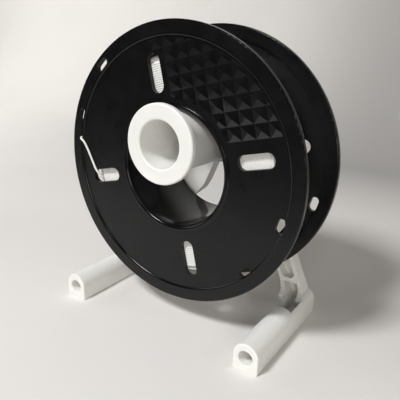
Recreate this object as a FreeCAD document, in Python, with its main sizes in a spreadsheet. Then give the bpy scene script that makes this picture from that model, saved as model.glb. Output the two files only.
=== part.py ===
"""Spool holder stand: a bolted, printed A-frame stand with a loaded filament spool on its arm.

Frame: origin on the floor under the middle of the stand, +X right, +Y to the rear, +Z up.
The spool turns about an axis parallel to Y and hangs on the arm, which is nearer the spool's top.
"""
import FreeCAD, Part
import math
import os
import Sketcher

DIMENSIONS = {
    # stand
    "stand_depth": 99.2,
    "arm_axis_height": 139.5,
    "hub_radius": 25.9,
    "lean_angle": 24.7,
    "leg_width": 17.8,
    "frame_thickness": 11.0,
    "rim_wall": 3.4,
    "back_web": 3.0,
    "gusset_bottom": 87.4,
    "taper_bottom": 62.0,
    "notch_half_width": 15.9,
    "notch_top": 121.5,
    "channel_bottom": 29.2,
    "pocket_top": 26.0,
    "knee_radius": 9.6,
    "taper_round": 30.0,
    "channel_round": 3.2,
    # feet
    "foot_centre_x": 79.85,
    "foot_width": 18.7,
    "foot_height": 20.7,
    "foot_length": 43.2,
    "foot_bore_radius": 5.25,
    "foot_bore_height": 10.0,
    "foot_bore_depth": 27.6,
    "foot_edge_round": 0.8,
    "shoe_front_wall": 14.4,
    "shoe_side_wall": 2.9,
    "shoe_floor": 3.0,
    # arm
    "arm_radius": 22.0,
    "arm_bore_radius": 16.8,
    "arm_end_wall": 5.6,
    "arm_length": 80.2,
    "lip_radius": 27.9,
    "lip_thickness": 4.6,
    "lip_round": 1.4,
    "lip_cone": 2.2,
    # spool
    "spool_axis_height": 119.45,
    "spool_axis_y": 5.6,
    "spool_width": 63.4,
    "spool_radius": 100.5,
    "spool_bore_radius": 42.4,
    "flange_thickness": 4.6,
    "rim_inner_radius": 90.6,
    "field_recess": 1.2,
    "collar_radius": 45.6,
    "rim_round": 0.9,
    "mouth_round": 2.2,
    "slot_inner_radius": 53.6,
    "slot_outer_radius": 80.7,
    "slot_width": 10.4,
    "slot_angle": 13.8,
    "tail_hole_radius": 1.7,
    "drum_radius": 50.0,
    "drum_wall": 2.2,
    "drum_rib_width": 2.0,
    "spigot_inner_radius": 44.9,
    "spigot_outer_radius": 47.5,
    "spigot_length": 5.0,
    "winding_radius": 77.5,
    "winding_crown_radius": 80.5,
    "winding_shoulder": 8.0,
    "filament_gap": 0.2,
    "filament_radius": 0.875,
    # M6 screws, nuts and washers
    "screw_radius": 3.0,
    "screw_hole_radius": 3.3,
    "head_radius": 5.0,
    "head_height": 6.0,
    "key_flats": 5.0,
    "key_depth": 3.0,
    "foot_screw_length": 40.0,
    "arm_screw_length": 16.0,
    "nut_flats": 10.0,
    "nut_height": 5.0,
    "washer_radius": 6.0,
    "washer_thickness": 1.6,
    "nut_pocket_radius": 7.2,
    "nut_pocket_depth": 6.8,
}

# Tie holes in a flange: angle about the spool's axis (from +X towards +Z), radius, length, width.
TIE_HOLES = (
    (134.2, 94.7, 13.2, 5.4),
    (162.2, 93.6, 11.8, 6.0),
    (-15.0, 88.5, 11.4, 5.9),
    (-44.5, 88.3, 10.7, 4.4),
)

# Filament end: corners of its path from the spool's centre, out of a small hole in the rim of the
# front flange, over the flange's outer face and into the slot beside it.
TAIL_ROUTE = (
    (-91.4, -28.4, 11.2),
    (-91.4, -33.1, 11.2),
    (-87.4, -32.5, 8.6),
    (-84.1, -31.7, 2.6),
    (-79.2, -31.6, -6.8),
    (-75.0, -31.4, -14.9),
    (-72.6, -28.4, -19.4),
)

doc = FreeCAD.newDocument("spool_holder_stand")
sheet = doc.addObject("Spreadsheet::Sheet", "Sheet")
for row, (alias, number) in enumerate(DIMENSIONS.items(), start=1):
    sheet.set(f"A{row}", alias)
    sheet.set(f"B{row}", str(number))
    sheet.setAlias(f"B{row}", alias)
doc.recompute()

PIECES = {}


def value(expression):
    """Number that a sheet expression gives now."""
    return float(sheet.evalExpression(expression.replace("Sheet.", "")))


def cell(alias):
    return f"Sheet.{alias}"


def sized(alias):
    return value(alias)


# ---------------------------------------------------------------- drawing helpers


def new_body(label):
    body = doc.addObject("PartDesign::Body", label)
    body.Label = label
    PIECES[label] = body
    return body


def origin_feature(body, role):
    return next(item for item in body.Origin.OriginFeatures if item.Role == role)


def new_sketch(body, name, plane, offset=None):
    """Sketch on an origin plane of its own body, moved along the plane's normal by offset."""
    sketch = body.newObject("Sketcher::SketchObject", name)
    sketch.AttachmentSupport = [(origin_feature(body, plane), "")]
    sketch.MapMode = "FlatFace"
    if offset is not None:
        sketch.setExpression(".AttachmentOffset.Base.z", offset)
    return sketch


def bind(sketch, constraint, expression):
    index = sketch.addConstraint(constraint)
    sketch.setExpression(f"Constraints[{index}]", expression)


def pin_point(sketch, geometry, end, across, along):
    """Holds one end of a sketch element at (across, along), given as sheet expressions."""
    bind(sketch, Sketcher.Constraint("DistanceX", -1, 1, geometry, end, value(across)), across)
    bind(sketch, Sketcher.Constraint("DistanceY", -1, 1, geometry, end, value(along)), along)


def draw_polygon(sketch, corners):
    """Closed outline of straight edges through corners given as pairs of sheet expressions."""
    points = [FreeCAD.Vector(value(across), value(along), 0) for across, along in corners]
    first = sketch.GeometryCount
    count = len(points)
    for index in range(count):
        sketch.addGeometry(Part.LineSegment(points[index], points[(index + 1) % count]), False)
    for index in range(count):
        following = first + (index + 1) % count
        sketch.addConstraint(Sketcher.Constraint("Coincident", first + index, 2, following, 1))
    for index, (across, along) in enumerate(corners):
        pin_point(sketch, first + index, 1, across, along)


def draw_circle(sketch, across, along, radius):
    centre = FreeCAD.Vector(value(across), value(along), 0)
    circle = Part.Circle(centre, FreeCAD.Vector(0, 0, 1), value(radius))
    index = sketch.addGeometry(circle, False)
    pin_point(sketch, index, 3, across, along)
    bind(sketch, Sketcher.Constraint("Radius", index, value(radius)), radius)


def draw_arch(sketch, centre, width, height):
    """Tombstone outline standing on the floor: straight sides under a round top."""
    half = f"({width} / 2)"
    spring = f"({height} - {half})"
    left, right = f"({centre} - {half})", f"({centre} + {half})"
    top_centre = FreeCAD.Vector(value(centre), value(spring), 0)
    crown = Part.ArcOfCircle(
        Part.Circle(top_centre, FreeCAD.Vector(0, 0, 1), value(half)), 0, math.pi)
    floor_left = FreeCAD.Vector(value(left), 0, 0)
    floor_right = FreeCAD.Vector(value(right), 0, 0)
    shoulder_right = FreeCAD.Vector(value(right), value(spring), 0)
    shoulder_left = FreeCAD.Vector(value(left), value(spring), 0)
    arc = sketch.addGeometry(crown, False)
    side_left = sketch.addGeometry(Part.LineSegment(shoulder_left, floor_left), False)
    sole = sketch.addGeometry(Part.LineSegment(floor_left, floor_right), False)
    side_right = sketch.addGeometry(Part.LineSegment(floor_right, shoulder_right), False)
    sketch.addConstraint(Sketcher.Constraint("Tangent", arc, 2, side_left, 1))
    sketch.addConstraint(Sketcher.Constraint("Coincident", side_left, 2, sole, 1))
    sketch.addConstraint(Sketcher.Constraint("Coincident", sole, 2, side_right, 1))
    sketch.addConstraint(Sketcher.Constraint("Tangent", side_right, 2, arc, 1))
    pin_point(sketch, arc, 3, centre, spring)
    bind(sketch, Sketcher.Constraint("Radius", arc, value(half)), half)
    pin_point(sketch, sole, 1, left, "0")
    pin_point(sketch, sole, 2, right, "0")


def pad(body, sketch, length, rearward=True):
    """Pads a sketch on the XZ plane by length, towards the rear unless told otherwise."""
    feature = body.newObject("PartDesign::Pad", f"{sketch.Name}_pad")
    feature.Profile = sketch
    feature.Reversed = rearward
    feature.setExpression("Length", length)
    doc.recompute()
    return feature


def pocket(body, sketch, length, rearward=True):
    """Cuts a sketch on the XZ plane to a depth of length and makes sure that it removed material."""
    before = body.Shape.Volume
    feature = body.newObject("PartDesign::Pocket", f"{sketch.Name}_pocket")
    feature.Profile = sketch
    feature.Reversed = not rearward
    feature.setExpression("Length", length)
    doc.recompute()
    if not body.Shape.Volume < before:
        raise RuntimeError(f"{feature.Name} cut nothing")
    return feature


def cut_through(body, sketch):
    """Cuts a sketch right through its body, both ways, and makes sure that it removed material."""
    before = body.Shape.Volume
    feature = body.newObject("PartDesign::Pocket", f"{sketch.Name}_pocket")
    feature.Profile = sketch
    feature.Type = "ThroughAll"
    feature.Midplane = True
    doc.recompute()
    if not body.Shape.Volume < before:
        raise RuntimeError(f"{feature.Name} cut nothing")
    return feature


def repeat_about_axis(body, feature, count):
    """Repeats a feature evenly about the body's Y axis."""
    pattern = body.newObject("PartDesign::PolarPattern", f"{feature.Name}_pattern")
    pattern.Originals = [feature]
    pattern.Axis = (origin_feature(body, "Y_Axis"), [""])
    pattern.Angle = 360
    pattern.Occurrences = count
    body.Tip = pattern
    doc.recompute()


def revolve(label, profile):
    """Body turned about its own Y axis from a closed outline of (radius, y) expressions."""
    body = new_body(label)
    sketch = new_sketch(body, f"{label}_profile", "XY_Plane")
    draw_polygon(sketch, profile)
    feature = body.newObject("PartDesign::Revolution", f"{label}_revolution")
    feature.Profile = sketch
    feature.ReferenceAxis = (sketch, ["V_Axis"])
    feature.Angle = 360
    doc.recompute()
    return body


def round_edges(body, wanted, radius):
    """Fillets the edges of the body's tip that wanted(edge) picks."""
    tip = body.Tip
    names = [f"Edge{n}" for n, edge in enumerate(tip.Shape.Edges, start=1) if wanted(edge)]
    if not names:
        raise RuntimeError(f"no edges to round on {body.Label}")
    feature = body.newObject("PartDesign::Fillet", f"{body.Label}_round_{len(body.Group)}")
    feature.Base = (tip, names)
    feature.setExpression("Radius", radius)
    doc.recompute()
    return feature


def ring_edge(radius, along_y):
    """Test for a full circle about the body's Y axis with this radius, at this y."""
    def wanted(edge):
        curve = edge.Curve
        if not isinstance(curve, Part.Circle):
            return False
        on_axis = math.hypot(curve.Center.x, curve.Center.z) < 1e-4
        return on_axis and abs(curve.Radius - radius) < 1e-4 and abs(curve.Center.y - along_y) < 1e-4
    return wanted


def edge_along_y(corners):
    """Test for a straight edge along Y that passes one of the (x, z) corners, on either side."""
    def wanted(edge):
        box = edge.BoundBox
        if box.XLength > 1e-4 or box.ZLength > 1e-4:
            return False
        return any(abs(abs(box.XMin) - x) < 1e-3 and abs(box.ZMin - z) < 1e-3 for x, z in corners)
    return wanted


def place(piece, across="0", along="0", up="0"):
    for axis, expression in (("x", across), ("y", along), ("z", up)):
        piece.setExpression(f".Placement.Base.{axis}", expression)
    doc.recompute()


def mirrored_pair(label, piece):
    """One node holding a piece and its mirror image on the other side of the stand."""
    twin = doc.addObject("Part::Mirroring", f"{label}_twin")
    twin.Source = piece
    twin.Normal = FreeCAD.Vector(1, 0, 0)
    return twin


def group(label, members):
    compound = doc.addObject("Part::Compound", label)
    compound.Links = members
    compound.Label = label
    PIECES[label] = compound
    doc.recompute()
    return compound


# ---------------------------------------------------------------- stand

FRONT = f"(-{cell('stand_depth')} / 2)"
REAR = f"({cell('stand_depth')} / 2)"
FRAME_FRONT = f"({REAR} - {cell('frame_thickness')})"
CHANNEL_DEPTH = f"({cell('frame_thickness')} - {cell('back_web')})"
SHOE_FRONT = f"({FRONT} + {cell('foot_length')})"
KNEE_FRONT = f"({FRAME_FRONT} - {cell('knee_radius')})"


def outer_x(height, inset="0"):
    """Half width of the A-frame's outer edge at a height, moved inwards by inset."""
    reach = f"({cell('hub_radius')} / cos({cell('lean_angle')}))"
    spread = f"({cell('arm_axis_height')} - {height}) * tan({cell('lean_angle')})"
    return f"({reach} + {spread} - {inset})"


def inner_x(height, inset="0"):
    """Half width of the leg's inner edge at a height, moved outwards by inset."""
    return f"({outer_x(height)} - {cell('leg_width')} + {inset})"


def both_sides(sketch, corners):
    """Draws a right-hand outline and its mirror image."""
    draw_polygon(sketch, corners)
    draw_polygon(sketch, [(f"(-1 * {across})", along) for across, along in reversed(corners)])


def make_rear_frame():
    body = new_body("rear_frame")

    # A-frame plate: outer edges touch the hub's circle, the legs widen into a gusset at the top.
    axis = cell("arm_axis_height")
    shoulder = f"({axis} + {cell('hub_radius')} * sin({cell('lean_angle')}))"
    gusset, taper = cell("gusset_bottom"), cell("taper_bottom")
    knee = f"({cell('foot_height')} - {cell('foot_width')} / 2)"
    right_half = [
        ("0.6", cell("notch_top")),
        (cell("notch_half_width"), gusset),
        (inner_x(taper), taper),
        (inner_x(knee), knee),
        (outer_x(knee), knee),
        (outer_x(shoulder), shoulder),
    ]
    left_half = [(f"(-1 * {across})", along) for across, along in reversed(right_half)]
    plate = new_sketch(body, "frame_plate", "XZ_Plane", f"-1 * {FRAME_FRONT}")
    draw_polygon(plate, right_half + left_half)
    pad(body, plate, cell("frame_thickness"))
    bends = [(sized("notch_half_width"), value(gusset)), (value(inner_x(taper)), value(taper))]
    round_edges(body, edge_along_y(bends), cell("taper_round"))
    hub = new_sketch(body, "frame_hub", "XZ_Plane", f"-1 * {FRAME_FRONT}")
    draw_circle(hub, "0", axis, cell("hub_radius"))
    pad(body, hub, cell("frame_thickness"))

    # Shoes: hollow continuations of the feet under the legs, and the knee walls above them.
    shoe = new_sketch(body, "frame_shoe", "XZ_Plane", f"-1 * {SHOE_FRONT}")
    for side in ("", "-1 * "):
        draw_arch(shoe, f"({side}{cell('foot_centre_x')})", cell("foot_width"), cell("foot_height"))
    pad(body, shoe, f"{REAR} - {SHOE_FRONT}")
    knee_top = f"({cell('foot_height')} - 2.7 + {cell('knee_radius')})"
    knee_base = cell("foot_bore_height")
    block = new_sketch(body, "frame_knee", "XZ_Plane", f"-1 * {KNEE_FRONT}")
    both_sides(block, [
        (inner_x(knee_base), knee_base),
        (outer_x(knee_base), knee_base),
        (outer_x(knee_top), knee_top),
        (inner_x(knee_top), knee_top),
    ])
    pad(body, block, cell("knee_radius"))
    sweep = new_sketch(body, "frame_knee_curve", "YZ_Plane")
    draw_circle(sweep, KNEE_FRONT, knee_top, cell("knee_radius"))
    cut_through(body, sweep)

    # Hollows: pocket in each shoe, pocket in each knee, and the channel up each leg.
    window_side = f"({cell('foot_width')} / 2 - {cell('shoe_side_wall')})"
    shoe_left = f"({cell('foot_centre_x')} - {window_side})"
    shoe_right = f"({cell('foot_centre_x')} + {window_side})"
    window = new_sketch(body, "shoe_window", "XZ_Plane",
                        f"-1 * ({SHOE_FRONT} + {cell('shoe_front_wall')})")
    both_sides(window, [
        (shoe_left, cell("shoe_floor")),
        (shoe_right, cell("shoe_floor")),
        (shoe_right, cell("foot_height")),
        (shoe_left, cell("foot_height")),
    ])
    pocket(body, window, f"{KNEE_FRONT} - {SHOE_FRONT} - {cell('shoe_front_wall')}")
    cavity = new_sketch(body, "shoe_cavity", "XZ_Plane", f"-1 * {KNEE_FRONT}")
    both_sides(cavity, [
        (shoe_left, cell("shoe_floor")),
        (shoe_right, cell("shoe_floor")),
        (shoe_right, knee),
        (shoe_left, knee),
    ])
    pocket(body, cavity, f"{REAR} - {cell('back_web')} - {KNEE_FRONT}")
    rim = cell("rim_wall")
    pocket_top = cell("pocket_top")
    throat = new_sketch(body, "knee_cavity", "XZ_Plane", f"-1 * {KNEE_FRONT}")
    both_sides(throat, [
        (inner_x(knee_base, rim), knee_base),
        (outer_x(knee_base, rim), knee_base),
        (outer_x(pocket_top, rim), pocket_top),
        (inner_x(pocket_top, rim), pocket_top),
    ])
    pocket(body, throat, f"{REAR} - {cell('back_web')} - {KNEE_FRONT}")
    low, high = cell("channel_bottom"), f"({gusset} - {rim})"
    channel = new_sketch(body, "leg_channel", "XZ_Plane", f"-1 * {KNEE_FRONT}")
    both_sides(channel, [
        (inner_x(low, rim), low),
        (outer_x(low, rim), low),
        (outer_x(high, rim), high),
        (inner_x(high, rim), high),
    ])
    pocket(body, channel, f"{cell('knee_radius')} + {CHANNEL_DEPTH}")
    ends = [(value(inner_x(low, rim)), value(low)), (value(outer_x(low, rim)), value(low))]
    round_edges(body, edge_along_y(ends), cell("channel_round"))

    # Screw holes: the arm's through the hub with a nut pocket behind, one through each shoe.
    hole = new_sketch(body, "arm_screw_hole", "XZ_Plane", f"-1 * {FRAME_FRONT}")
    draw_circle(hole, "0", axis, cell("screw_hole_radius"))
    pocket(body, hole, cell("frame_thickness"))
    nut_pocket = new_sketch(body, "nut_pocket", "XZ_Plane",
                            f"-1 * ({REAR} - {cell('nut_pocket_depth')})")
    draw_circle(nut_pocket, "0", axis, cell("nut_pocket_radius"))
    pocket(body, nut_pocket, cell("nut_pocket_depth"))
    shoe_hole = new_sketch(body, "shoe_screw_hole", "XZ_Plane", f"-1 * {SHOE_FRONT}")
    for side in ("", "-1 * "):
        draw_circle(shoe_hole, f"({side}{cell('foot_centre_x')})", cell("foot_bore_height"),
                    cell("screw_hole_radius"))
    pocket(body, shoe_hole, cell("shoe_front_wall"))
    place(body)


def make_foot(label, side):
    """Solid tombstone-section foot, bored from the front for its screw."""
    body = new_body(label)
    centre = f"({side}{cell('foot_centre_x')})"
    section = new_sketch(body, f"{label}_section", "XZ_Plane")
    draw_arch(section, centre, cell("foot_width"), cell("foot_height"))
    pad(body, section, cell("foot_length"))
    bore = new_sketch(body, f"{label}_bore", "XZ_Plane")
    draw_circle(bore, centre, cell("foot_bore_height"), cell("foot_bore_radius"))
    pocket(body, bore, cell("foot_bore_depth"))
    hole = new_sketch(body, f"{label}_screw_hole", "XZ_Plane")
    draw_circle(hole, centre, cell("foot_bore_height"), cell("screw_hole_radius"))
    pocket(body, hole, cell("foot_length"))

    def on_front_face(edge):
        box = edge.BoundBox
        above_sole = box.ZMax > 1e-3
        return abs(box.YMin) < 1e-6 and abs(box.YMax) < 1e-6 and above_sole

    round_edges(body, on_front_face, cell("foot_edge_round"))
    place(body, along=FRONT)


def make_arm():
    """Hollow arm with a lip that keeps the spool on; its closed end sits on the hub."""
    length, lip = cell("arm_length"), cell("lip_thickness")
    body = revolve("spool_arm", [
        (cell("screw_hole_radius"), length),
        (cell("arm_radius"), length),
        (cell("arm_radius"), f"({lip} + {cell('lip_cone')})"),
        (cell("lip_radius"), lip),
        (cell("lip_radius"), "0"),
        (cell("arm_bore_radius"), "0"),
        (cell("arm_bore_radius"), f"({length} - {cell('arm_end_wall')})"),
        (cell("screw_hole_radius"), f"({length} - {cell('arm_end_wall')})"),
    ])
    rims = (ring_edge(sized("lip_radius"), 0), ring_edge(sized("lip_radius"), sized("lip_thickness")),
            ring_edge(sized("arm_bore_radius"), 0))
    round_edges(body, lambda edge: any(test(edge) for test in rims), cell("lip_round"))
    place(body, along=f"{FRAME_FRONT} - {length}", up=cell("arm_axis_height"))


# ---------------------------------------------------------------- spool


def add_slots(body, label):
    """Four long radial windows with round ends, cut right through a flange."""
    half = f"({cell('slot_width')} / 2)"
    sketch = new_sketch(body, f"{label}_slot", "XZ_Plane")
    inner = value(f"{cell('slot_inner_radius')} + {half}")
    outer = value(f"{cell('slot_outer_radius')} - {half}")
    radius = value(half)
    up = FreeCAD.Vector(0, 0, 1)
    far = Part.ArcOfCircle(Part.Circle(FreeCAD.Vector(outer, 0, 0), up, radius),
                           -math.pi / 2, math.pi / 2)
    near = Part.ArcOfCircle(Part.Circle(FreeCAD.Vector(inner, 0, 0), up, radius),
                            math.pi / 2, 3 * math.pi / 2)
    top = Part.LineSegment(FreeCAD.Vector(outer, radius, 0), FreeCAD.Vector(inner, radius, 0))
    bottom = Part.LineSegment(FreeCAD.Vector(inner, -radius, 0), FreeCAD.Vector(outer, -radius, 0))
    indices = [sketch.addGeometry(item, False) for item in (far, top, near, bottom)]
    for index, following in zip(indices, indices[1:] + indices[:1]):
        sketch.addConstraint(Sketcher.Constraint("Tangent", index, 2, following, 1))
    pin_point(sketch, indices[0], 3, f"{cell('slot_outer_radius')} - {half}", "0")
    pin_point(sketch, indices[2], 3, f"{cell('slot_inner_radius')} + {half}", "0")
    bind(sketch, Sketcher.Constraint("Radius", indices[0], radius), half)
    sketch.setExpression(".AttachmentOffset.Rotation.Angle", cell("slot_angle"))
    repeat_about_axis(body, cut_through(body, sketch), 4)


def add_tail_hole(body):
    """Small round hole in the rim, where the filament's end is."""
    across, _, up = TAIL_ROUTE[0]
    sketch = new_sketch(body, "tail_hole", "XZ_Plane")
    draw_circle(sketch, str(across), str(up), cell("tail_hole_radius"))
    cut_through(body, sketch)


def add_tie_holes(body, label):
    """Short round-ended holes in the rim for the filament's end."""
    up = FreeCAD.Vector(0, 0, 1)
    sketch = new_sketch(body, f"{label}_ties", "XZ_Plane")
    for angle, radius, length, width in TIE_HOLES:
        half_width = width / 2
        reach = length / 2 - half_width
        outward = FreeCAD.Vector(math.cos(math.radians(angle)), math.sin(math.radians(angle)), 0)
        across = FreeCAD.Vector(-outward.y, outward.x, 0)
        centre = outward * radius
        ends = (centre + across * reach, centre - across * reach)
        turn = math.radians(angle)
        first = Part.ArcOfCircle(Part.Circle(ends[0], up, half_width), turn, turn + math.pi)
        last = Part.ArcOfCircle(Part.Circle(ends[1], up, half_width), turn + math.pi, turn + 2 * math.pi)
        inner_side = Part.LineSegment(ends[0] - outward * half_width, ends[1] - outward * half_width)
        outer_side = Part.LineSegment(ends[1] + outward * half_width, ends[0] + outward * half_width)
        loop = [sketch.addGeometry(item, False) for item in (first, inner_side, last, outer_side)]
        for index, following in zip(loop, loop[1:] + loop[:1]):
            sketch.addConstraint(Sketcher.Constraint("Tangent", index, 2, following, 1))
        for index in (loop[0], loop[2]):
            sketch.addConstraint(Sketcher.Constraint("Block", index))
    cut_through(body, sketch)


def make_flange(label, outward):
    """Spool flange; its outer face looks along -Y when outward is -1, along +Y when it is 1."""
    face = f"({outward} * {cell('spool_width')} / 2)"

    def inwards(distance):
        return f"({face} - {outward} * {distance})"

    field = inwards(cell("field_recess"))
    back = inwards(cell("flange_thickness"))
    spigot_end = inwards(f"({cell('flange_thickness')} + {cell('spigot_length')})")
    body = revolve(label, [
        (cell("spool_bore_radius"), face),
        (cell("collar_radius"), face),
        (f"({cell('collar_radius')} + {cell('field_recess')})", field),
        (f"({cell('rim_inner_radius')} - {cell('field_recess')} / 2)", field),
        (cell("rim_inner_radius"), face),
        (cell("spool_radius"), face),
        (cell("spool_radius"), back),
        (cell("spigot_outer_radius"), back),
        (cell("spigot_outer_radius"), spigot_end),
        (cell("spigot_inner_radius"), spigot_end),
        (cell("spigot_inner_radius"), back),
        (cell("spool_bore_radius"), back),
    ])
    rims = (ring_edge(sized("spool_radius"), value(face)), ring_edge(sized("spool_radius"), value(back)),
            ring_edge(sized("collar_radius"), value(face)))
    round_edges(body, lambda edge: any(test(edge) for test in rims), cell("rim_round"))
    round_edges(body, ring_edge(sized("spool_bore_radius"), value(face)), cell("mouth_round"))
    add_slots(body, label)
    add_tie_holes(body, label)
    place(body, along=cell("spool_axis_y"), up=cell("spool_axis_height"))
    return body


def make_core_drum():
    """Two sleeves joined by ribs; the flanges' spigots plug in between the sleeves."""
    end = f"({cell('spool_width')} / 2 - {cell('flange_thickness')})"
    wall = cell("drum_wall")
    body = revolve("core_drum", [
        (f"({cell('drum_radius')} - {wall})", f"(-1 * {end})"),
        (cell("drum_radius"), f"(-1 * {end})"),
        (cell("drum_radius"), end),
        (f"({cell('drum_radius')} - {wall})", end),
    ])
    reach = f"({end} - {cell('spigot_length')} - 0.5)"
    rib = new_sketch(body, "drum_rib", "XZ_Plane", reach)
    half = f"({cell('drum_rib_width')} / 2)"
    start, finish = f"({cell('spool_bore_radius')} + 1)", f"({cell('drum_radius')} - 1)"
    draw_polygon(rib, [
        (start, f"(-1 * {half})"), (finish, f"(-1 * {half})"), (finish, half), (start, half)])
    repeat_about_axis(body, pad(body, rib, f"2 * {reach}"), 8)
    sleeve = new_sketch(body, "bore_sleeve", "XZ_Plane", end)
    draw_circle(sleeve, "0", "0", f"({cell('spool_bore_radius')} + {wall})")
    draw_circle(sleeve, "0", "0", cell("spool_bore_radius"))
    pad(body, sleeve, f"2 * {end}")
    place(body, along=cell("spool_axis_y"), up=cell("spool_axis_height"))


def make_winding():
    """Wound filament as one ring, fuller in the middle, a hair clear of the drum and flanges."""
    gap = cell("filament_gap")
    end = f"({cell('spool_width')} / 2 - {cell('flange_thickness')} - {gap})"
    shoulder = f"({end} - {cell('winding_shoulder')})"
    body = revolve("filament_winding", [
        (f"({cell('drum_radius')} + {gap})", f"(-1 * {end})"),
        (cell("winding_radius"), f"(-1 * {end})"),
        (cell("winding_crown_radius"), f"(-1 * {shoulder})"),
        (cell("winding_crown_radius"), shoulder),
        (cell("winding_radius"), end),
        (f"({cell('drum_radius')} + {gap})", end),
    ])
    place(body, along=cell("spool_axis_y"), up=cell("spool_axis_height"))


def rounded_wire(points):
    """Straight runs joined by arcs as large as the runs allow."""
    edges = []
    start = points[0]
    for before, corner, after in zip(points, points[1:], points[2:]):
        arriving, leaving = corner - before, after - corner
        turn = arriving.getAngle(leaving)
        setback = 0.45 * min(arriving.Length, leaving.Length)
        into = corner - FreeCAD.Vector(arriving).normalize() * setback
        out = corner + FreeCAD.Vector(leaving).normalize() * setback
        bulge = setback * math.tan(turn / 4)
        chord_middle = (into + out) * 0.5
        middle = chord_middle + (corner - chord_middle).normalize() * bulge * math.cos(turn / 2)
        edges.append(Part.LineSegment(start, into).toShape())
        edges.append(Part.Arc(into, middle, out).toShape())
        start = out
    edges.append(Part.LineSegment(start, points[-1]).toShape())
    return Part.Wire(edges)


def make_filament_tail():
    """Filament end: a round wire along its route."""
    corners = [FreeCAD.Vector(*point) for point in TAIL_ROUTE]
    path = rounded_wire(corners)
    direction = (corners[1] - corners[0]).normalize()
    ring = Part.Wire(Part.Circle(corners[0], direction, sized("filament_radius")).toShape())
    tail = doc.addObject("Part::Feature", "filament_tail")
    tail.Shape = path.makePipeShell([ring], True, True)
    tail.Label = "filament_tail"
    PIECES["filament_tail"] = tail
    place(tail, along=cell("spool_axis_y"), up=cell("spool_axis_height"))


# ---------------------------------------------------------------- fasteners


def hexagon(sketch, flats):
    """Regular hexagon about the sketch's origin, with its corners on the vertical."""
    corner = f"({flats} / sqrt(3))"
    draw_polygon(sketch, [
        (f"({corner} * sin({60 * step}))", f"({corner} * cos({60 * step}))") for step in range(6)])


def make_screw(label, length):
    """Socket-head cap screw, head towards -Y, the head's bearing face at the body's origin."""
    head, shank = cell("head_height"), cell("screw_radius")
    body = revolve(label, [
        ("0", f"(-1 * {head})"),
        (f"({cell('head_radius')} - 0.5)", f"(-1 * {head})"),
        (cell("head_radius"), f"(0.5 - {head})"),
        (cell("head_radius"), "0"),
        (shank, "0"),
        (shank, f"({length} - 0.8)"),
        (f"({shank} - 0.8)", length),
        ("0", length),
    ])
    key = new_sketch(body, f"{label}_key", "XZ_Plane", head)
    hexagon(key, cell("key_flats"))
    pocket(body, key, cell("key_depth"))
    return body


def make_washer(label):
    body = new_body(label)
    sketch = new_sketch(body, f"{label}_ring", "XZ_Plane")
    draw_circle(sketch, "0", "0", cell("washer_radius"))
    draw_circle(sketch, "0", "0", f"({cell('screw_radius')} + 0.2)")
    pad(body, sketch, cell("washer_thickness"))
    return body


def make_nut(label):
    body = new_body(label)
    sketch = new_sketch(body, f"{label}_hexagon", "XZ_Plane")
    hexagon(sketch, cell("nut_flats"))
    draw_circle(sketch, "0", "0", f"({cell('screw_radius')} + 0.05)")
    pad(body, sketch, cell("nut_height"))
    return body


def make_fasteners():
    """M6 screw, washer and nut through each foot and through the arm's closed end."""
    foot_x, foot_z = cell("foot_centre_x"), cell("foot_bore_height")
    axis = cell("arm_axis_height")
    shoe_wall = f"({SHOE_FRONT} + {cell('shoe_front_wall')})"
    pocket_floor = f"({REAR} - {cell('nut_pocket_depth')})"
    washer = cell("washer_thickness")

    foot_screw = make_screw("foot_screw", cell("foot_screw_length"))
    place(foot_screw, foot_x, f"{FRONT} + {cell('foot_bore_depth')}", foot_z)
    arm_screw = make_screw("arm_screw", cell("arm_screw_length"))
    place(arm_screw, "0", f"{FRAME_FRONT} - {cell('arm_end_wall')}", axis)
    foot_washer, arm_washer = make_washer("foot_washer"), make_washer("arm_washer")
    place(foot_washer, foot_x, shoe_wall, foot_z)
    place(arm_washer, "0", pocket_floor, axis)
    foot_nut, arm_nut = make_nut("foot_nut"), make_nut("arm_nut")
    place(foot_nut, foot_x, f"{shoe_wall} + {washer}", foot_z)
    place(arm_nut, "0", f"{pocket_floor} + {washer}", axis)

    for loose in ("foot_screw", "foot_washer", "arm_washer", "foot_nut", "arm_nut"):
        PIECES.pop(loose)
    group("foot_screws", [foot_screw, mirrored_pair("foot_screws", foot_screw)])
    group("washers", [foot_washer, mirrored_pair("washers", foot_washer), arm_washer])
    group("nuts", [foot_nut, mirrored_pair("nuts", foot_nut), arm_nut])


make_rear_frame()
make_foot("right_foot", "")
make_foot("left_foot", "-1 * ")
make_arm()
add_tail_hole(make_flange("front_flange", "-1"))
make_flange("rear_flange", "1")
make_core_drum()
make_winding()
make_filament_tail()
make_fasteners()
doc.recompute()

for item in doc.Objects:
    if "Invalid" in item.State or "Error" in item.State:
        raise RuntimeError(f"{item.Name} failed: {item.State}")
os.makedirs("parts", exist_ok=True)
for name, piece in PIECES.items():
    shape = piece.Shape
    if shape.isNull() or not shape.isValid():
        raise RuntimeError(f"{name} has no valid shape")
    shape.exportStep(f"parts/{name}.step")
    print(f"{name}: {len(shape.Solids)} solid(s), {shape.Volume / 1000:.2f} cm3")
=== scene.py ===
"""Looks of the spool holder stand: a white printed stand that carries a black filament spool.

Frame: metres, origin on the floor under the middle of the stand, +X right, +Y to the rear, +Z up.
"""
import math
import random

import bmesh
import bpy
import numpy as np
from mathutils import Matrix, Vector
from mathutils.geometry import delaunay_2d_cdt


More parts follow.
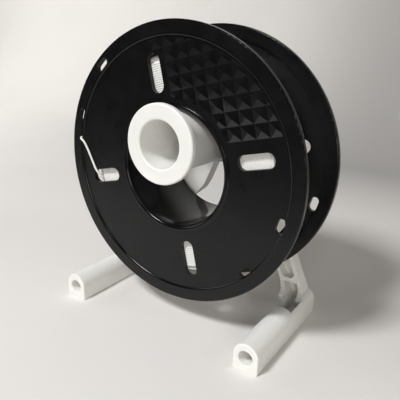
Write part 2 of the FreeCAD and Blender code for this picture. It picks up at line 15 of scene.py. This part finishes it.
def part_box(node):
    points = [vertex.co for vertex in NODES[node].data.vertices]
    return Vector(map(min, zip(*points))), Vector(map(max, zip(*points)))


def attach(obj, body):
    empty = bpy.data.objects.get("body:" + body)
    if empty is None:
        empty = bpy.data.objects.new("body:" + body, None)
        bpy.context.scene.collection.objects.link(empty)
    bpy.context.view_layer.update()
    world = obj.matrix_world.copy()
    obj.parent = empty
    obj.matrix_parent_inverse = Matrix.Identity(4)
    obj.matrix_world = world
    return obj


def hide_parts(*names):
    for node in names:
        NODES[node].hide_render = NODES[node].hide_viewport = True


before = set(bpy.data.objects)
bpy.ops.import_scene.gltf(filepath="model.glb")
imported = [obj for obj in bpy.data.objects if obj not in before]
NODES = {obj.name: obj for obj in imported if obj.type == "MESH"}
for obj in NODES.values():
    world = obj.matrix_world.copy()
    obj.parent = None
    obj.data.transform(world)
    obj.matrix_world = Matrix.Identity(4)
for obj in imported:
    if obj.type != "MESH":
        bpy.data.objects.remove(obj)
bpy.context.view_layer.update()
MM = 0.001

# ---------------------------------------------------------------- sizes and places, in metres

FLANGE_LOW, FLANGE_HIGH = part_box("front_flange")
SPOOL_BACK_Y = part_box("rear_flange")[1].y
WOUND_LOW, WOUND_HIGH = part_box("filament_winding")
FACE_Y = FLANGE_LOW.y
SPOOL_X = (FLANGE_HIGH.x + FLANGE_LOW.x) / 2
SPOOL_Y = (FACE_Y + SPOOL_BACK_Y) / 2
SPOOL_Z = (FLANGE_HIGH.z + FLANGE_LOW.z) / 2
SPOOL_RADIUS = (FLANGE_HIGH.x - FLANGE_LOW.x) / 2

# flange: recessed field between the collar round the bore and the raised rim
FIELD_RECESS = 1.2 * MM
FIELD_Y = FACE_Y + FIELD_RECESS
COLLAR_EDGE = 46.8 * MM
RIM_INNER = 90.6 * MM
STEP_ROUND = 0.95 * MM

# slots through the flange, one of four, and how far they are turned from level
SLOT_ANGLE = math.radians(13.8)
SLOT_START, SLOT_END, SLOT_HALF = 53.6 * MM, 80.7 * MM, 5.2 * MM

# field of small pyramids between two radii, on a grid in the slots' own axes, with the grid's
# column and row past which it goes on beyond the end of the top slot
RELIEF_INNER, RELIEF_OUTER = 50.5 * MM, 88.9 * MM
RELIEF_SLOT_GAP = 1.0 * MM
PYRAMID_ACROSS, PYRAMID_UP, PYRAMID_HEIGHT = 10.0 * MM, 9.75 * MM, 1.16 * MM
GRID_ACROSS_START, GRID_UP_START = 9.6 * MM, 14.0 * MM
PAST_COLUMN, PAST_ROW = -1, 7
RELIEF_LIFT, RELIEF_ROOT = 0.01 * MM, 0.05 * MM

# wound filament
WIRE_RADIUS = 0.875 * MM
CROWN_RADIUS = WOUND_HIGH.z - SPOOL_Z
SHOULDER_DROP = 3.0 * MM
SHOULDER_LENGTH = 8.0 * MM
WINDING_INNER = 50.3 * MM
STACKED_PITCH = 1.52 * MM

# printed layers
LAYER_PITCH = 0.24 * MM
ROAD_PITCH = 0.62 * MM


# ---------------------------------------------------------------- mesh helpers


def linked(name, mesh):
    piece = bpy.data.objects.new(name, mesh)
    bpy.context.scene.collection.objects.link(piece)
    return piece


def from_faces(name, vertices, faces, smooth=True):
    """New object from plain lists of points and faces, its faces turned outwards."""
    mesh = bpy.data.meshes.new(name)
    mesh.from_pydata([tuple(v) for v in vertices], [], faces)
    work = bmesh.new()
    work.from_mesh(mesh)
    bmesh.ops.recalc_face_normals(work, faces=work.faces)
    work.to_mesh(mesh)
    work.free()
    if smooth:
        mesh.shade_smooth()
    else:
        mesh.shade_flat()
    return linked(name, mesh)


def applied(piece):
    """Bakes a piece's modifiers into its mesh."""
    bpy.context.view_layer.update()
    graph = bpy.context.evaluated_depsgraph_get()
    mesh = bpy.data.meshes.new_from_object(piece.evaluated_get(graph))
    piece.modifiers.clear()
    piece.data = mesh
    return piece


def on_step(edge):
    """Whether an edge lies on the sharp ring where a flange's raised rim meets its step."""
    near, far = (vertex.co for vertex in edge.verts)
    ring = all(abs(math.hypot(place.x - SPOOL_X, place.z - SPOOL_Z) - RIM_INNER) < 0.06 * MM
               for place in (near, far))
    return ring and abs(near.y - far.y) < 0.02 * MM


def refined(node, name, width, segments=3, stepped=False):
    """A copy of a CAD node's shape with its sharp edges rounded and its shading cleaned."""
    mesh = NODES[node].data.copy()
    work = bmesh.new()
    work.from_mesh(mesh)
    bmesh.ops.remove_doubles(work, verts=work.verts, dist=2e-6)
    bmesh.ops.dissolve_limit(work, angle_limit=math.radians(0.3), verts=work.verts, edges=work.edges)
    if stepped:
        bmesh.ops.bevel(work, geom=[e for e in work.edges if on_step(e)], offset=STEP_ROUND,
                        offset_type="OFFSET", segments=5, profile=0.5, affect="EDGES",
                        clamp_overlap=False)
    for edge in work.edges:
        edge.smooth = True
    for face in work.faces:
        face.smooth = True
    clean = bpy.data.meshes.new(name)
    work.to_mesh(clean)
    work.free()
    bpy.data.meshes.remove(mesh)
    for attribute in [a for a in clean.attributes if a.name == "custom_normal"]:
        clean.attributes.remove(attribute)
    piece = linked(name, clean)
    bevel = piece.modifiers.new("bevel", "BEVEL")
    bevel.width = width
    bevel.segments = segments
    bevel.limit_method = "ANGLE"
    bevel.angle_limit = math.radians(30.0)
    bevel.miter_outer = "MITER_ARC"
    bevel.use_clamp_overlap = True
    weighted = piece.modifiers.new("weighted", "WEIGHTED_NORMAL")
    weighted.mode = "FACE_AREA"
    weighted.weight = 80
    return applied(piece)


def dressed(piece, body, slot, material, *replaced):
    """Gives a piece its body, its material and the CAD nodes it stands for; the slot argument is not
    used.
    """
    piece.data.materials.clear()
    piece.data.materials.append(material)
    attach(piece, body)
    if replaced:
        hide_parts(*replaced)
    return piece


def polar(radius, angle, y):
    """Point at a radius and angle about the spool's axis, the angle from +X towards +Z."""
    return Vector((SPOOL_X + radius * math.cos(angle), y, SPOOL_Z + radius * math.sin(angle)))


def revolved(name, outline, steps):
    """Closed ring about the spool's axis, from a closed outline of (radius, y) points."""
    vertices = []
    for step in range(steps):
        angle = 2 * math.pi * step / steps
        vertices += [polar(radius, angle, y) for radius, y in outline]
    count = len(outline)
    faces = []
    for step in range(steps):
        here, following = step * count, (step + 1) % steps * count
        for index in range(count):
            after = (index + 1) % count
            faces.append((here + index, here + after, following + after, following + index))
    return from_faces(name, vertices, faces)


# ---------------------------------------------------------------- material helpers


class Shader:
    """Small wrapper that adds nodes to a new material and links them."""

    def __init__(self, name):
        self.material = bpy.data.materials.new(name)
        self.material.use_nodes = True
        self.tree = self.material.node_tree
        self.surface = self.tree.nodes["Principled BSDF"]
        self.where = self.add("ShaderNodeTexCoord").outputs["Object"]

    def add(self, kind, **settings):
        node = self.tree.nodes.new(kind)
        for name, value in settings.items():
            setattr(node, name, value)
        return node

    def link(self, source, target):
        self.tree.links.new(source, target)

    def fixed(self, **values):
        for name, value in values.items():
            self.surface.inputs[name.replace("_", " ")].default_value = value

    def math(self, operation, first, second=0.0, third=0.0):
        node = self.add("ShaderNodeMath", operation=operation)
        for socket, value in zip(node.inputs, (first, second, third)):
            if isinstance(value, (int, float)):
                socket.default_value = value
            else:
                self.link(value, socket)
        return node.outputs[0]

    def axes(self):
        node = self.add("ShaderNodeSeparateXYZ")
        self.link(self.where, node.inputs[0])
        return node.outputs

    def noise(self, scale, detail=3.0, roughness=0.5, stretch=None):
        node = self.add("ShaderNodeTexNoise")
        node.inputs["Scale"].default_value = scale
        node.inputs["Detail"].default_value = detail
        node.inputs["Roughness"].default_value = roughness
        source = self.where
        if stretch:
            mapping = self.add("ShaderNodeMapping")
            mapping.inputs["Scale"].default_value = stretch
            self.link(self.where, mapping.inputs["Vector"])
            source = mapping.outputs[0]
        self.link(source, node.inputs["Vector"])
        return node.outputs["Fac"]

    def spread(self, source, low, high, out_low=0.0, out_high=1.0, smooth=False):
        node = self.add("ShaderNodeMapRange")
        node.interpolation_type = "SMOOTHSTEP" if smooth else "LINEAR"
        values = (low, high, out_low, out_high)
        for name, value in zip(("From Min", "From Max", "To Min", "To Max"), values):
            node.inputs[name].default_value = value
        self.link(source, node.inputs["Value"])
        return node.outputs[0]

    def blend(self, amount, first, second):
        """Colour between two colours, each a socket or three numbers."""
        node = self.add("ShaderNodeMix", data_type="RGBA")
        self.link(amount, node.inputs["Factor"])
        for socket, value in ((node.inputs["A"], first), (node.inputs["B"], second)):
            if isinstance(value, tuple):
                socket.default_value = (*value, 1.0)
            else:
                self.link(value, socket)
        return node.outputs["Result"]

    def bump(self, height, distance, strength=1.0, under=None):
        node = self.add("ShaderNodeBump")
        node.inputs["Distance"].default_value = distance
        node.inputs["Strength"].default_value = strength
        self.link(height, node.inputs["Height"])
        if under is not None:
            self.link(under, node.inputs["Normal"])
        return node.outputs[0]

    def colour(self, source):
        self.link(source, self.surface.inputs["Base Color"])

    def rough(self, source):
        self.link(source, self.surface.inputs["Roughness"])

    def normal(self, source):
        self.link(source, self.surface.inputs["Normal"])


def printed_white(name, upright=False):
    """White printed plastic: layers stacked along Y, or along Z when it was printed upright."""
    shader = Shader(name)
    x, y, z = shader.axes()
    stacked = z if upright else y
    drift = shader.noise(28.0, 3.0)
    tone = shader.blend(shader.spread(drift, 0.3, 0.7), (0.83, 0.825, 0.795), (0.88, 0.876, 0.85))
    speck = shader.noise(1500.0, 2.0)
    tone = shader.blend(shader.spread(speck, 0.62, 0.78, 0.0, 0.35), tone, (0.74, 0.73, 0.69))
    shader.colour(tone)
    wobble = shader.noise(60.0, 2.0)
    rise = shader.math("MULTIPLY_ADD", wobble, 0.25 * LAYER_PITCH, stacked)
    layers = shader.math("SINE", shader.math("MULTIPLY", rise, 2 * math.pi / LAYER_PITCH))
    slant = shader.math("MULTIPLY", shader.math("ADD", x, y if upright else z),
                        2 * math.pi / ROAD_PITCH)
    roads = shader.math("SINE", slant)
    grain = shader.noise(900.0, 4.0, 0.6)
    first = shader.bump(layers, 0.007 * MM)
    second = shader.bump(roads, 0.004 * MM, under=first)
    shader.normal(shader.bump(grain, 0.02 * MM, 0.6, second))
    shader.rough(shader.spread(shader.noise(240.0, 4.0), 0.3, 0.7, 0.28, 0.40))
    shader.fixed(IOR=1.46, Subsurface_Weight=0.18, Subsurface_Scale=0.0016,
                 Subsurface_Radius=(1.0, 0.9, 0.7))
    return shader.material


def polish(shader):
    """Factor on the roughness: the bore's mouth, the rim's edge and the step are smoother."""
    x, _, z = shader.axes()
    across = shader.math("SUBTRACT", x, SPOOL_X)
    above = shader.math("SUBTRACT", z, SPOOL_Z)
    squared = shader.math("MULTIPLY_ADD", above, above, shader.math("MULTIPLY", across, across))
    radius = shader.math("SQRT", squared)
    mouth = shader.spread(radius, COLLAR_EDGE - 0.4 * MM, COLLAR_EDGE + 0.4 * MM, 0.45, 1.0)
    edge = shader.spread(radius, SPOOL_RADIUS - 1.3 * MM, SPOOL_RADIUS - 0.7 * MM, 1.0, 0.5)
    from_step = shader.math("ABSOLUTE", shader.math("SUBTRACT", radius, RIM_INNER + 0.3 * MM))
    step = shader.spread(from_step, 0.8 * MM, 1.2 * MM, 0.5, 1.0)
    return shader.math("MULTIPLY", shader.math("MULTIPLY", mouth, edge), step)


def spool_black(name, rough_range, grain, index):
    """Black moulded plastic with fine grain and hairline scratches along X and along Z."""
    shader = Shader(name)
    cloud = shader.noise(45.0, 4.0)
    shader.colour(shader.blend(shader.spread(cloud, 0.3, 0.7),
                               (0.0034, 0.0034, 0.0039), (0.0052, 0.0052, 0.0058)))
    fine = shader.noise(2600.0, 3.0, 0.6)
    level = shader.spread(shader.noise(120.0, 2.0, 0.5, (1.0, 1.0, 34.0)), 0.66, 0.74)
    upright = shader.spread(shader.noise(120.0, 2.0, 0.5, (30.0, 1.0, 1.0)), 0.67, 0.75)
    marks = shader.math("MAXIMUM", level, upright)
    rough = shader.spread(shader.noise(90.0, 5.0), 0.3, 0.7, *rough_range)
    rough = shader.math("MULTIPLY_ADD", marks, 0.07, rough)
    shader.rough(shader.math("MULTIPLY", rough, polish(shader)))
    shader.normal(shader.bump(marks, 0.010 * MM, 0.5, shader.bump(fine, grain)))
    shader.fixed(IOR=index)
    return shader.material


def filament_white(name):
    """White filament, slightly translucent and smoother than the printed plastic."""
    shader = Shader(name)
    cloud = shader.noise(70.0, 3.0)
    shader.colour(shader.blend(shader.spread(cloud, 0.3, 0.7), (0.80, 0.80, 0.775), (0.87, 0.87, 0.85)))
    shader.rough(shader.spread(shader.noise(400.0, 3.0), 0.3, 0.7, 0.26, 0.38))
    shader.normal(shader.bump(shader.noise(1800.0, 2.0), 0.012 * MM))
    shader.fixed(IOR=1.47, Subsurface_Weight=0.15, Subsurface_Scale=0.001,
                 Subsurface_Radius=(1.0, 0.95, 0.85))
    return shader.material


def steel(name):
    """Turned steel of the screws, washers and nuts."""
    shader = Shader(name)
    cloud = shader.noise(300.0, 4.0)
    shader.colour(shader.blend(shader.spread(cloud, 0.3, 0.7), (0.46, 0.46, 0.47), (0.60, 0.60, 0.61)))
    turned = shader.noise(700.0, 2.0, 0.5, (1.0, 9.0, 1.0))
    shader.rough(shader.spread(turned, 0.3, 0.7, 0.24, 0.40))
    shader.normal(shader.bump(turned, 0.01 * MM))
    shader.fixed(Metallic=1.0)
    return shader.material


WHITE = printed_white("printed_white")
UPRIGHT_WHITE = printed_white("printed_white_upright", upright=True)
SATIN = spool_black("spool_satin", (0.26, 0.34), 0.035 * MM, 1.37)
RELIEF = spool_black("spool_relief", (0.17, 0.23), 0.012 * MM, 1.56)
GLOSS = spool_black("spool_gloss", (0.09, 0.15), 0.012 * MM, 1.5)
FILAMENT = filament_white("filament_white")
STEEL = steel("steel")

# ---------------------------------------------------------------- stand

dressed(refined("rear_frame", "frame_print", 0.55 * MM), "stand", "printed_white", WHITE, "rear_frame")
for side in ("right", "left"):
    dressed(refined(f"{side}_foot", f"{side}_foot_print", 0.35 * MM),
            "stand", "printed_white", UPRIGHT_WHITE, f"{side}_foot")
dressed(refined("spool_arm", "arm_print", 0.35 * MM), "stand", "printed_white", WHITE, "spool_arm")
for node in ("foot_screws", "arm_screw", "washers", "nuts"):
    dressed(refined(node, f"{node}_turned", 0.2 * MM, 2), "stand", "steel", STEEL, node)

# ---------------------------------------------------------------- spool

for node in ("front_flange", "rear_flange"):
    dressed(refined(node, f"{node}_moulding", 0.45 * MM, stepped=True),
            "spool", "spool_black", SATIN, node)
dressed(refined("core_drum", "drum_moulding", 0.3 * MM), "spool", "spool_black", GLOSS, "core_drum")


def slot_loop(turn):
    """Outline of a slot with the gap that the pyramids leave round it, turned about the axis."""
    half = SLOT_HALF + RELIEF_SLOT_GAP
    near, far = SLOT_START + SLOT_HALF, SLOT_END - SLOT_HALF
    arc = np.linspace(-math.pi / 2, math.pi / 2, 13)
    loop = [(far + half * math.cos(a), half * math.sin(a)) for a in arc]
    loop += [(near - half * math.cos(a), -half * math.sin(a)) for a in arc]
    c, s = math.cos(turn), math.sin(turn)
    return [(x * c - y * s, x * s + y * c) for x, y in loop]


def in_relief(u, w):
    """Whether the pyramids cover a place, given in the slots' own axes."""
    if not RELIEF_INNER < math.hypot(u, w) < RELIEF_OUTER:
        return False
    for along, aside in ((u, w), (w, -u)):
        nearest = min(max(along, SLOT_START + SLOT_HALF), SLOT_END - SLOT_HALF)
        if math.hypot(along - nearest, aside) < SLOT_HALF + RELIEF_SLOT_GAP:
            return False
    between_slots = u > GRID_ACROSS_START and w > GRID_UP_START
    past_slot = (u > GRID_ACROSS_START + PAST_COLUMN * PYRAMID_ACROSS
                 and w > GRID_UP_START + PAST_ROW * PYRAMID_UP)
    return between_slots or past_slot


def pyramid_rise(u, w):
    """Height of the pyramids above the field at a place in the slots' own axes."""
    in_u = ((u - GRID_ACROSS_START) / PYRAMID_ACROSS) % 1.0
    in_w = ((w - GRID_UP_START) / PYRAMID_UP) % 1.0
    return PYRAMID_HEIGHT * 2 * min(in_u, 1 - in_u, in_w, 1 - in_w)


def pyramid_relief():
    """Moulded field of small square pyramids on part of the front flange's outer face."""
    cos, sin = math.cos(SLOT_ANGLE), math.sin(SLOT_ANGLE)
    points, edges = [], []

    def run(corners, closed=False):
        first, count = len(points), len(corners)
        points.extend(Vector(c) for c in corners)
        last = count if closed else count - 1
        edges.extend((first + i, first + (i + 1) % count) for i in range(last))

    for radius in (RELIEF_INNER, RELIEF_OUTER):
        turns = np.linspace(0, 2 * math.pi, 181)[:-1]
        run([(radius * math.cos(a), radius * math.sin(a)) for a in turns], closed=True)
    run(slot_loop(0.0), closed=True)
    run(slot_loop(math.pi / 2), closed=True)
    columns = [GRID_ACROSS_START + PYRAMID_ACROSS * k for k in range(-5, 10)]
    rows = [GRID_UP_START + PYRAMID_UP * k for k in range(-4, 9)]
    for u in columns:
        run([(u, rows[0]), (u, rows[-1])])
    for w in rows:
        run([(columns[0], w), (columns[-1], w)])
    for u in columns[:-1]:
        for w in rows[:-1]:
            run([(u, w), (u + PYRAMID_ACROSS, w + PYRAMID_UP)])
            run([(u + PYRAMID_ACROSS, w), (u, w + PYRAMID_UP)])

    found, _, faces, _, _, _ = delaunay_2d_cdt(points, edges, [], 0, 1e-7)
    kept = []
    for face in faces:
        middle = sum((found[i] for i in face), Vector((0, 0))) / len(face)
        if in_relief(middle.x, middle.y):
            kept.append(tuple(face))
    used = sorted({i for face in kept for i in face})
    number = {old: new for new, old in enumerate(used)}
    total = len(used)

    def lifted(index, depth):
        u, w = found[index]
        return (SPOOL_X + u * cos - w * sin, FIELD_Y + depth, SPOOL_Z + u * sin + w * cos)

    vertices = [lifted(i, -RELIEF_LIFT - pyramid_rise(*found[i])) for i in used]
    vertices += [lifted(i, RELIEF_ROOT) for i in used]
    solid = [tuple(number[i] for i in face) for face in kept]
    solid += [tuple(number[i] + total for i in reversed(face)) for face in kept]
    borders = {}
    for face in kept:
        for a, b in zip(face, face[1:] + face[:1]):
            borders.setdefault(frozenset((a, b)), []).append((a, b))
    for uses in borders.values():
        if len(uses) == 1:
            a, b = (number[i] for i in uses[0])
            solid.append((a, b, b + total, a + total))
    return from_faces("flange_relief", vertices, solid, smooth=False)


dressed(pyramid_relief(), "spool", "spool_black", RELIEF)


def wound_radius(y):
    """Outside radius of the winding at a place along the spool: lower beside the flanges."""
    inwards = min(y - WOUND_LOW.y, WOUND_HIGH.y - y)
    return CROWN_RADIUS - SHOULDER_DROP * max(0.0, 1 - inwards / SHOULDER_LENGTH)


def winding_core():
    """Wound filament below its outer layer: a ring whose ends show the stacked turns."""
    low, high = WOUND_LOW.y, WOUND_HIGH.y
    top = wound_radius(low) - 1.75 * WIRE_RADIUS
    crown = CROWN_RADIUS - 1.75 * WIRE_RADIUS
    turns = int((top - WINDING_INNER) / STACKED_PITCH)
    arc = np.linspace(-math.pi / 2, math.pi / 2, 6)[:-1]

    def stacked(order, end, outwards):
        """Scalloped end of the ring; outwards is 1 towards larger radii and -1 back again."""
        scallops = []
        for turn in order:
            centre = WINDING_INNER + (turn + 0.5) * STACKED_PITCH
            scallops += [(centre + outwards * 0.5 * STACKED_PITCH * math.sin(a),
                          end - outwards * WIRE_RADIUS * 0.6 * (1 - math.cos(a))) for a in arc]
        return scallops

    outline = [(WINDING_INNER, low + WIRE_RADIUS), (WINDING_INNER, high - WIRE_RADIUS)]
    outline += stacked(range(turns), high, 1)
    outline += [(top, high - WIRE_RADIUS), (crown, high - SHOULDER_LENGTH),
                (crown, low + SHOULDER_LENGTH), (top, low + WIRE_RADIUS)]
    outline += stacked(reversed(range(turns)), low, -1)
    return revolved("winding_core", outline, 224)


def swept(name, centres, radius, sides):
    """Round tube along a line of points, closed at both ends."""
    vertices, faces = [], []
    count = len(centres)
    ahead = [(centres[min(i + 1, count - 1)] - centres[max(i - 1, 0)]).normalized()
             for i in range(count)]
    side = ahead[0].orthogonal().normalized()
    for index, (centre, forward) in enumerate(zip(centres, ahead)):
        side = (side - forward * side.dot(forward)).normalized()
        other = forward.cross(side)
        vertices += [centre + radius * (side * math.cos(a) + other * math.sin(a))
                     for a in np.linspace(0, 2 * math.pi, sides + 1)[:-1]]
        if index:
            here, before = index * sides, (index - 1) * sides
            faces += [(before + k, before + (k + 1) % sides, here + (k + 1) % sides, here + k)
                      for k in range(sides)]
    faces.append(tuple(reversed(range(sides))))
    faces.append(tuple(range((count - 1) * sides, count * sides)))
    return from_faces(name, vertices, faces)


def winding_turns():
    """Outer layer of the winding: one wire wound side by side from flange to flange."""
    random.seed(7)
    low, high = WOUND_LOW.y + WIRE_RADIUS, WOUND_HIGH.y - WIRE_RADIUS
    turns = int((high - low) / (2.02 * WIRE_RADIUS))
    steps = 72
    sway = [random.uniform(-0.09, 0.09) * MM for _ in range(turns + 2)]
    centres = []
    for step in range(turns * steps + 1):
        turn, share = divmod(step / steps, 1.0)
        offset = sway[int(turn)] * (1 - share) + sway[int(turn) + 1] * share
        along = low + (high - low) * step / (turns * steps)
        rest = wound_radius(along) - WIRE_RADIUS - 0.1 * MM
        centres.append(polar(rest + offset, 2 * math.pi * share, along))
    return swept("winding_turns", centres, WIRE_RADIUS, 8)


dressed(winding_core(), "spool", "filament_white", FILAMENT, "filament_winding")
dressed(winding_turns(), "spool", "filament_white", FILAMENT)


def filament_tail():
    """Free end of the filament: out of its hole in the rim and into the slot beside it."""
    route = [(-91.4, -28.4, 11.2), (-91.4, -33.1, 11.2), (-87.4, -32.5, 8.6), (-84.1, -31.7, 2.6),
             (-79.2, -31.6, -6.8), (-75.0, -31.4, -14.9), (-72.6, -28.4, -19.4)]
    curve = bpy.data.curves.new("filament_tail_wire", "CURVE")
    curve.dimensions = "3D"
    spline = curve.splines.new("NURBS")
    spline.points.add(len(route) - 1)
    for point, (x, y, z) in zip(spline.points, route):
        point.co = (SPOOL_X + x * MM, SPOOL_Y + y * MM, SPOOL_Z + z * MM, 1)
    spline.order_u = 3
    spline.use_endpoint_u = True
    spline.resolution_u = 12
    curve.bevel_depth = WIRE_RADIUS
    curve.bevel_resolution = 4
    curve.use_fill_caps = True
    wire = linked("filament_tail_curve", curve)
    bpy.context.view_layer.update()
    graph = bpy.context.evaluated_depsgraph_get()
    mesh = bpy.data.meshes.new_from_object(wire.evaluated_get(graph))
    bpy.data.objects.remove(wire)
    mesh.shade_smooth()
    return linked("filament_tail_wire", mesh)


dressed(filament_tail(), "spool", "filament_white", FILAMENT, "filament_tail")

# ---------------------------------------------------------------- floor, light and camera


def studio():
    """Pale sheet that lies on the floor and curves up behind the stand.

    It carries painted shade: it is darker far behind on the right, and a dark strip is painted in
    front, where the black flange reflects it.
    """
    front, back, bend, top, wide = -0.75, 0.55, 0.35, 1.5, 1.9
    curl = np.linspace(0, math.pi / 2, 17)[1:]
    profile = [(front, 0.0), (-0.3, 0.0), (0.0, 0.0), (back, 0.0)]
    profile += [(back + bend * math.sin(a), bend * (1 - math.cos(a))) for a in curl]
    profile.append((back + bend, top))
    vertices = [(side * wide, y, z - 0.02 * MM) for y, z in profile for side in (-1, 1)]
    faces = [(2 * i, 2 * i + 1, 2 * i + 3, 2 * i + 2) for i in range(len(profile) - 1)]
    sheet = from_faces("studio_sheet", vertices, faces)
    shader = Shader("studio_paper")
    tone = shader.noise(3.0, 2.0)
    pale = shader.blend(shader.spread(tone, 0.3, 0.7), (0.79, 0.77, 0.745), (0.82, 0.80, 0.775))
    x, y, _ = shader.axes()
    # painted shade: the sheet darkens far behind on the right, standing in for the light falling off
    # there
    painted_shade_tone = shader.blend(shader.spread(tone, 0.3, 0.7), (0.50, 0.487, 0.472), (0.52, 0.507, 0.492))
    far = shader.math("MULTIPLY", shader.spread(y, 0.3, 0.6, smooth=True),
                      shader.spread(x, -0.40, 0.0, smooth=True))
    ground = shader.blend(far, pale, painted_shade_tone)
    # painted shade: a dark strip on the floor in front, which the black flange reflects as darkness
    painted_front_shade = shader.spread(y, -0.31, -0.24, smooth=True)
    shader.colour(shader.blend(painted_front_shade, (0.10, 0.097, 0.094), ground))
    shader.rough(shader.spread(tone, 0.3, 0.7, 0.62, 0.72))
    shader.fixed(Specular_IOR_Level=0.25)
    sheet.data.materials.append(shader.material)


def aimed(light, place, target):
    """Puts a light in the scene at a place, pointing at a target."""
    lamp = bpy.data.objects.new(light.name, light)
    bpy.context.scene.collection.objects.link(lamp)
    lamp.location = place
    lamp.rotation_euler = (Vector(target) - Vector(place)).to_track_quat("-Z", "Y").to_euler()


def area_light(name, place, target, size, power, colour):
    """Square soft light: its side in metres and its power in watts."""
    light = bpy.data.lights.new(name, "AREA")
    light.energy = power
    light.color = colour
    light.size = size
    aimed(light, place, target)


def beam(name, place, target, width, power):
    """Narrow soft-edged spot light; its width is the cone's full angle in degrees."""
    light = bpy.data.lights.new(name, "SPOT")
    light.energy = power
    light.spot_size = math.radians(width)
    light.spot_blend = 1.0
    light.shadow_soft_size = 0.01
    aimed(light, place, target)


def studio_air():
    """Pale surroundings beyond the sheet, which are seen but give no light."""
    world = bpy.data.worlds.new("studio_air")
    world.use_nodes = True
    world.node_tree.nodes["Background"].inputs["Color"].default_value = (0.62, 0.605, 0.585, 1.0)
    world.cycles_visibility.diffuse = False
    world.cycles_visibility.glossy = False
    bpy.context.scene.world = world


studio()
low_middle, middle = (0.0, 0.0, 0.08), (0.0, 0.0, 0.1)
area_light("key", (-0.24, -0.80, 1.10), low_middle, 0.26, 14.6, (0.99, 0.992, 1.0))
area_light("key_edge", (0.42, -0.90, 0.85), low_middle, 0.14, 1.0, (1.0, 0.99, 0.97))
area_light("camera_fill", (0.75, -1.05, 0.35), middle, 0.5, 5.0, (1.0, 0.97, 0.90))
area_light("right_fill", (1.15, 0.03, 0.75), middle, 0.2, 1.4, (1.0, 0.97, 0.92))
area_light("left_fill", (-1.25, -0.35, 0.60), middle, 0.6, 2.4, (1.0, 0.98, 0.95))
area_light("backdrop_light", (-1.2, -0.12, 0.82), (-1.67, 0.21, 0.13), 0.3, 11.0, (1.0, 0.99, 0.97))
beam("bore_light", (-0.03, -1.2, 0.105), (-0.014, 0.0386, 0.098), 1.9, 30.0)
studio_air()


def photo_camera():
    """Camera at the viewing angle, place and roll that show the stand from its front right."""
    azimuth, elevation, roll = math.radians(33.176), math.radians(18.439), math.radians(2.037)
    back = Vector((math.sin(azimuth) * math.cos(elevation),
                   -math.cos(azimuth) * math.cos(elevation), math.sin(elevation)))
    level = Vector((math.cos(azimuth), math.sin(azimuth), 0.0))
    up = level.cross(-back)
    right = level * math.cos(roll) + up * math.sin(roll)
    up = up * math.cos(roll) - level * math.sin(roll)
    data = bpy.data.cameras.new("photo_camera")
    data.sensor_width = 36.0
    data.lens = 42.36
    camera = bpy.data.objects.new("photo_camera", data)
    bpy.context.scene.collection.objects.link(camera)
    camera.matrix_world = Matrix.Translation((0.194414, -0.28543, 0.205361)) @ Matrix(
        (right, up, back)).transposed().to_4x4()
    bpy.context.scene.camera = camera


photo_camera()
bpy.context.scene.view_settings.view_transform = "Standard"
